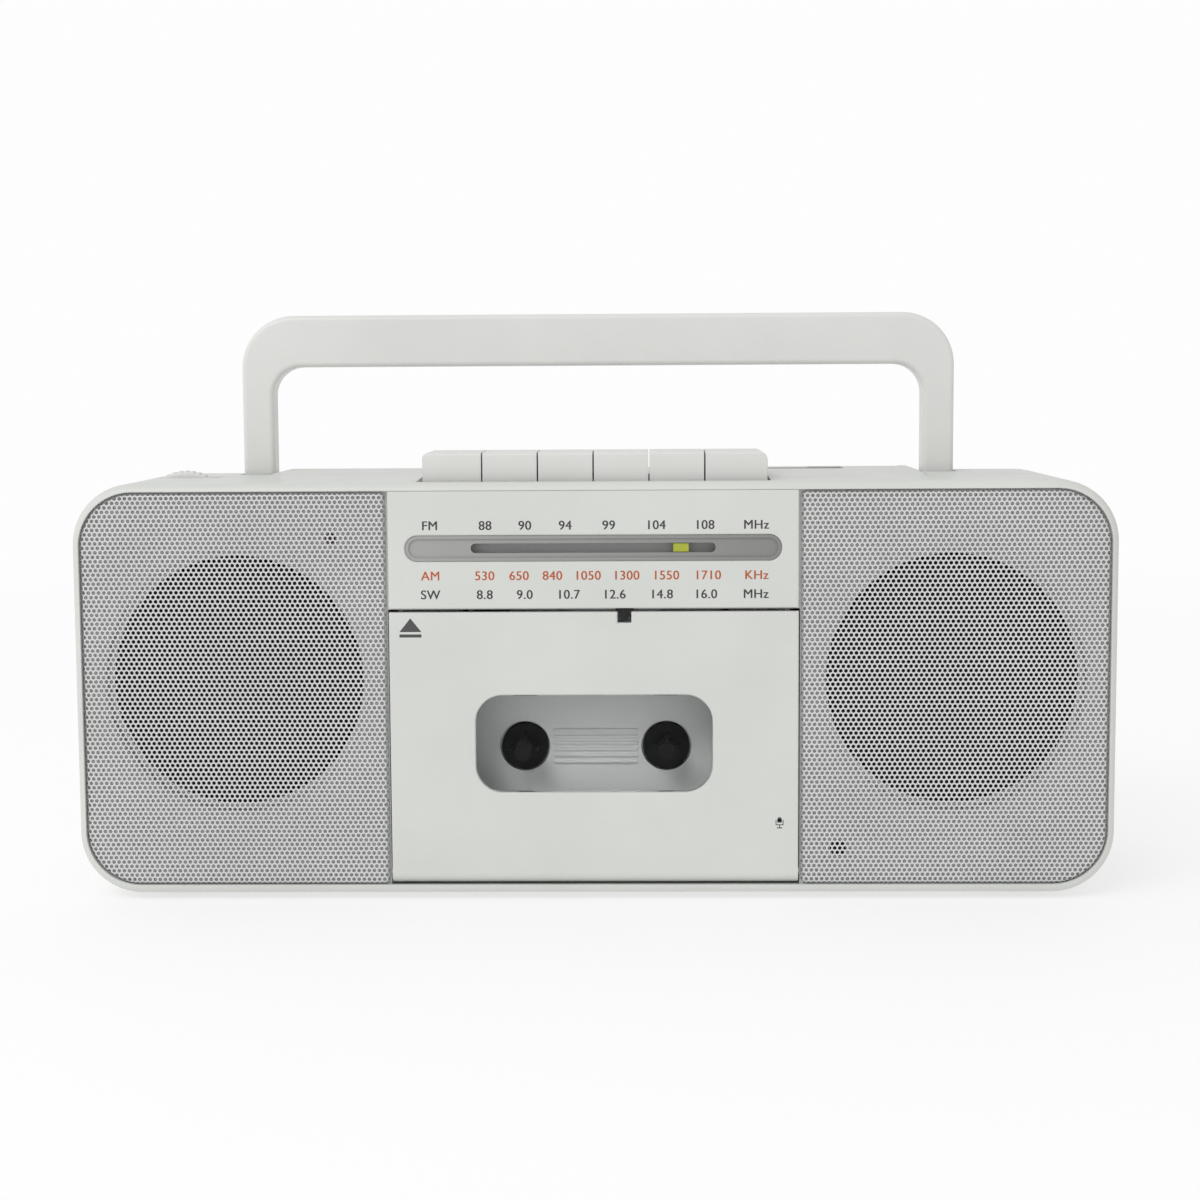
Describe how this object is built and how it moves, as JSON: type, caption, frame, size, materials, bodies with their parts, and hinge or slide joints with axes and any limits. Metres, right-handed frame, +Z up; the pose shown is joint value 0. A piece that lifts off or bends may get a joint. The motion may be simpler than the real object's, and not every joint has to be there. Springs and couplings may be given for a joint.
{
  "type": "portable radio cassette recorder",
  "caption": "Portable radio cassette recorder with perforated speaker grilles, centre tape door, slide-rule tuning scale, piano keys and a folding carrying handle.",
  "frame": {"origin": "on the surface that the feet stand on, under the middle of the case", "axes": "+X to the right seen from the front, +Y from the front to the back, +Z up"},
  "size_m": [0.304, 0.082, 0.173],
  "materials": {
    "case_plastic": "fine satin texture, pale warm grey-white",
    "grille_metal": "perforated sheet, satin paint",
    "dial_plastic": "semi-gloss grey",
    "dark_plastic": "matt black",
    "pointer_plastic": "yellow-green translucent plastic",
    "clear_plastic": "clear moulded window",
    "inner_plastic": "mid grey moulding",
    "steel_sheet": "zinc plated sheet",
    "polished_steel": "polished",
    "magnet_ceramic": "sintered ferrite",
    "cone_paper": "pressed paper pulp",
    "black_rubber": "matt rubber",
    "board_laminate": "phenolic board",
    "contact_brass": "plated contacts",
    "lamp_plastic": "red lens"
  },
  "bodies": {
    "root": {"front_cabinet": "case_plastic", "rear_cabinet": "case_plastic", "left_speaker_grille": "grille_metal", "right_speaker_grille": "grille_metal", "dial_panel": "case_plastic", "dial_bezel": "dial_plastic", "dial_backing": "dark_plastic", "speaker_frames": "steel_sheet", "speaker_cones": "cone_paper", "speaker_magnets": "magnet_ceramic", "cassette_well": "inner_plastic", "mechanism_chassis": "steel_sheet", "flywheel_bracket": "steel_sheet", "drive_motor": "steel_sheet", "drive_belt": "black_rubber", "main_circuit_board": "board_laminate", "power_transformer": "steel_sheet", "mains_inlet": "dark_plastic", "earphone_jack": "dark_plastic", "battery_tray": "inner_plastic", "battery_contacts": "contact_brass", "rubber_feet": "black_rubber", "case_screws": "polished_steel", "power_lamp": "lamp_plastic", "microphone": "dark_plastic", "tuning_capacitor": "dark_plastic", "ferrite_rod": "magnet_ceramic", "volume_potentiometer": "dark_plastic", "switch_plates": "dark_plastic", "switch_bodies": "steel_sheet", "handle_pins": "polished_steel", "key_shaft": "polished_steel"},
    "handle": {"carrying_handle": "case_plastic"},
    "door": {"cassette_door": "case_plastic", "door_window": "clear_plastic", "cassette_holder": "inner_plastic"},
    "latch": {"door_latch": "dark_plastic"},
    "pause_key": {"pause_key": "case_plastic"},
    "stop_eject_key": {"stop_eject_key": "case_plastic"},
    "fast_forward_key": {"fast_forward_key": "case_plastic"},
    "rewind_key": {"rewind_key": "case_plastic"},
    "play_key": {"play_key": "case_plastic"},
    "record_key": {"record_key": "case_plastic"},
    "dial_pointer": {"dial_pointer": "pointer_plastic"},
    "tuning_knob": {"tuning_knob": "case_plastic"},
    "tuning_drum": {"tuning_drum": "inner_plastic"},
    "volume_wheel": {"volume_wheel": "case_plastic"},
    "function_knob": {"function_knob": "case_plastic"},
    "band_knob": {"band_knob": "case_plastic"},
    "take_up_spindle": {"take_up_spindle": "dark_plastic"},
    "supply_spindle": {"supply_spindle": "dark_plastic"},
    "capstan_flywheel": {"capstan_flywheel": "polished_steel"},
    "motor_pulley": {"motor_pulley": "contact_brass"},
    "head_plate": {"head_plate": "steel_sheet"},
    "pinch_roller": {"pinch_roller": "black_rubber"},
    "battery_cover": {"battery_cover": "case_plastic"},
    "aerial_middle_tube": {"aerial_middle_tube": "polished_steel"},
    "aerial_inner_rod": {"aerial_inner_rod": "polished_steel"},
    "aerial_base": {"aerial_knuckle": "polished_steel", "aerial_outer_tube": "polished_steel"}
  },
  "joints": [
    {"name": "handle_fold", "type": "hinge", "parent": "root", "child": "handle", "pos_m": [0, 0.027, 0.1115], "axis": [-1, 0, 0], "range_deg": [0, 90]},
    {"name": "door_open", "type": "hinge", "parent": "root", "child": "door", "pos_m": [0, -0.0376, 0.0084], "axis": [1, 0, 0], "range_deg": [0, 38]},
    {"name": "latch_tilt", "type": "hinge", "parent": "root", "child": "latch", "pos_m": [0.009, -0.03958, 0.08582], "axis": [1, 0, 0], "range_deg": [0, 15]},
    {"name": "pause_key_press", "type": "hinge", "parent": "root", "child": "pause_key", "pos_m": [0, -0.0045, 0.1174], "axis": [1, 0, 0], "range_deg": [0, 11], "stiffness_Nm_per_rad": 0.25, "springref_deg": -20.05},
    {"name": "stop_eject_key_press", "type": "hinge", "parent": "root", "child": "stop_eject_key", "pos_m": [0, -0.0045, 0.1174], "axis": [1, 0, 0], "range_deg": [0, 11], "stiffness_Nm_per_rad": 0.25, "springref_deg": -20.05},
    {"name": "fast_forward_key_press", "type": "hinge", "parent": "root", "child": "fast_forward_key", "pos_m": [0, -0.0045, 0.1174], "axis": [1, 0, 0], "range_deg": [0, 11], "stiffness_Nm_per_rad": 0.25, "springref_deg": -20.05},
    {"name": "rewind_key_press", "type": "hinge", "parent": "root", "child": "rewind_key", "pos_m": [0, -0.0045, 0.1174], "axis": [1, 0, 0], "range_deg": [0, 11], "stiffness_Nm_per_rad": 0.25, "springref_deg": -20.05},
    {"name": "play_key_press", "type": "hinge", "parent": "root", "child": "play_key", "pos_m": [0, -0.0045, 0.1174], "axis": [1, 0, 0], "range_deg": [0, 11]},
    {"name": "record_key_press", "type": "hinge", "parent": "root", "child": "record_key", "pos_m": [0, -0.0045, 0.1174], "axis": [1, 0, 0], "range_deg": [0, 11], "stiffness_Nm_per_rad": 0.25, "springref_deg": -20.05},
    {"name": "tuning_turn", "type": "hinge", "parent": "root", "child": "tuning_knob", "pos_m": [0.135, 0.02, 0.074], "axis": [1, 0, 0], "range_deg": [-1040, 122]},
    {"name": "pointer_slide", "type": "slide", "parent": "root", "child": "dial_pointer", "axis": [1, 0, 0], "range_m": [-0.0578, 0.0068]},
    {"name": "drum_turn", "type": "hinge", "parent": "root", "child": "tuning_drum", "pos_m": [0.08, -0.003, 0.0975], "axis": [0, 1, 0], "range_deg": [-158, 19]},
    {"name": "volume_turn", "type": "hinge", "parent": "root", "child": "volume_wheel", "pos_m": [-0.127, 0.004, 0.1111], "axis": [0, 1, 0], "range_deg": [-120, 180]},
    {"name": "function_slide", "type": "slide", "parent": "root", "child": "function_knob", "axis": [1, 0, 0], "range_m": [-0.0126, 0]},
    {"name": "band_slide", "type": "slide", "parent": "root", "child": "band_knob", "axis": [1, 0, 0], "range_m": [-0.005, 0.005]},
    {"name": "flywheel_spin", "type": "hinge", "parent": "root", "child": "capstan_flywheel", "pos_m": [-0.0305, -0.011, 0.0707], "axis": [0, 1, 0], "continuous": true},
    {"name": "motor_spin", "type": "hinge", "parent": "root", "child": "motor_pulley", "pos_m": [0.033, -0.011, 0.042], "axis": [0, 1, 0], "continuous": true},
    {"name": "take_up_spin", "type": "hinge", "parent": "root", "child": "take_up_spindle", "pos_m": [-0.02125, -0.02, 0.0428], "axis": [0, 1, 0], "continuous": true},
    {"name": "supply_spin", "type": "hinge", "parent": "root", "child": "supply_spindle", "pos_m": [0.02125, -0.02, 0.0428], "axis": [0, 1, 0], "continuous": true},
    {"name": "head_slide", "type": "slide", "parent": "root", "child": "head_plate", "axis": [0, 0, -1], "range_m": [0, 0.005], "stiffness_N_per_m": 150, "springref_m": -0.015},
    {"name": "roller_spin", "type": "hinge", "parent": "head_plate", "child": "pinch_roller", "pos_m": [-0.0305, -0.0285, 0.08255], "axis": [0, 1, 0], "continuous": true},
    {"name": "cover_open", "type": "hinge", "parent": "root", "child": "battery_cover", "pos_m": [0, 0.04023, 0.00637], "axis": [-1, 0, 0], "range_deg": [0, 80]},
    {"name": "aerial_swivel", "type": "hinge", "parent": "root", "child": "aerial_base", "pos_m": [0.092, 0.0366, 0.1209], "axis": [0, 1, 0], "range_deg": [0, 90]},
    {"name": "aerial_middle_slide", "type": "slide", "parent": "aerial_base", "child": "aerial_middle_tube", "axis": [-1, 0, 0], "range_m": [0, 0.15]},
    {"name": "aerial_inner_slide", "type": "slide", "parent": "aerial_middle_tube", "child": "aerial_inner_rod", "axis": [-1, 0, 0], "range_m": [0, 0.15]}
  ],
  "couplings": [
    {"joint": "pointer_slide", "follows": "tuning_turn", "m_per_rad": 0.0031831},
    {"joint": "drum_turn", "follows": "tuning_turn", "ratio": 0.15158},
    {"joint": "motor_spin", "follows": "flywheel_spin", "ratio": 5.5},
    {"joint": "take_up_spin", "follows": "flywheel_spin", "ratio": 0.15},
    {"joint": "play_key_press", "follows": "head_slide", "rad_per_m": 38.397},
    {"joint": "latch_tilt", "follows": "stop_eject_key_press", "ratio": 1.3636}
  ]
}
